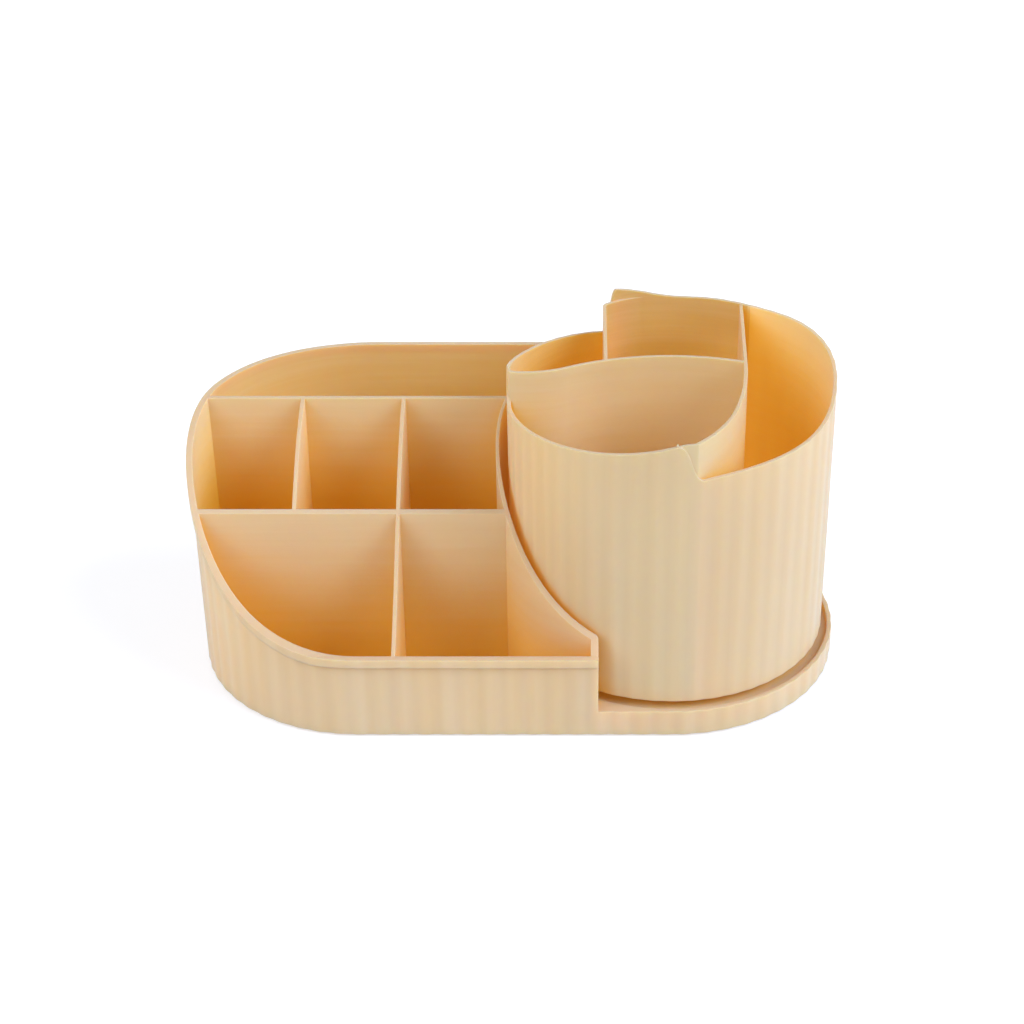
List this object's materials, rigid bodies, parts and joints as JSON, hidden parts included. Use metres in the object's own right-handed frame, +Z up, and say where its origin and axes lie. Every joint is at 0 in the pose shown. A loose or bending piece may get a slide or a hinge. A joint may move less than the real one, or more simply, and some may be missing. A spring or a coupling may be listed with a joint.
{
  "type": "desk organizer with a turning cup",
  "caption": "Open cosmetics tray with fixed compartments and a sweeping rim, and a tall fluted cup with three-blade rim that turns in a round recess at one end.",
  "frame": {"origin": "centre of the bounding box, on the plane that the feet stand on", "axes": "+X from the tray's closed end to the turning cup, +Y from the low front to the high back, +Z up"},
  "size_m": [0.2651, 0.1428, 0.1343],
  "materials": {
    "shell_plastic": "moulded, soft gloss",
    "ring_plastic": "low-friction plastic, natural white",
    "steel": "zinc plated",
    "rubber": "soft, slightly clear"
  },
  "bodies": {
    "tray": {"tray": "shell_plastic", "track_ring": "ring_plastic", "foot_1": "rubber", "foot_2": "rubber", "foot_3": "rubber", "foot_4": "rubber"},
    "cup": {"cup": "shell_plastic", "glide_ring": "ring_plastic", "pivot_washer": "steel", "pivot_screw": "steel"}
  },
  "joints": [
    {"name": "cup_spin", "type": "hinge", "parent": "tray", "child": "cup", "pos_m": [0.06296, -0.00033, 0.0137], "axis": [0, 0, 1], "continuous": true}
  ]
}
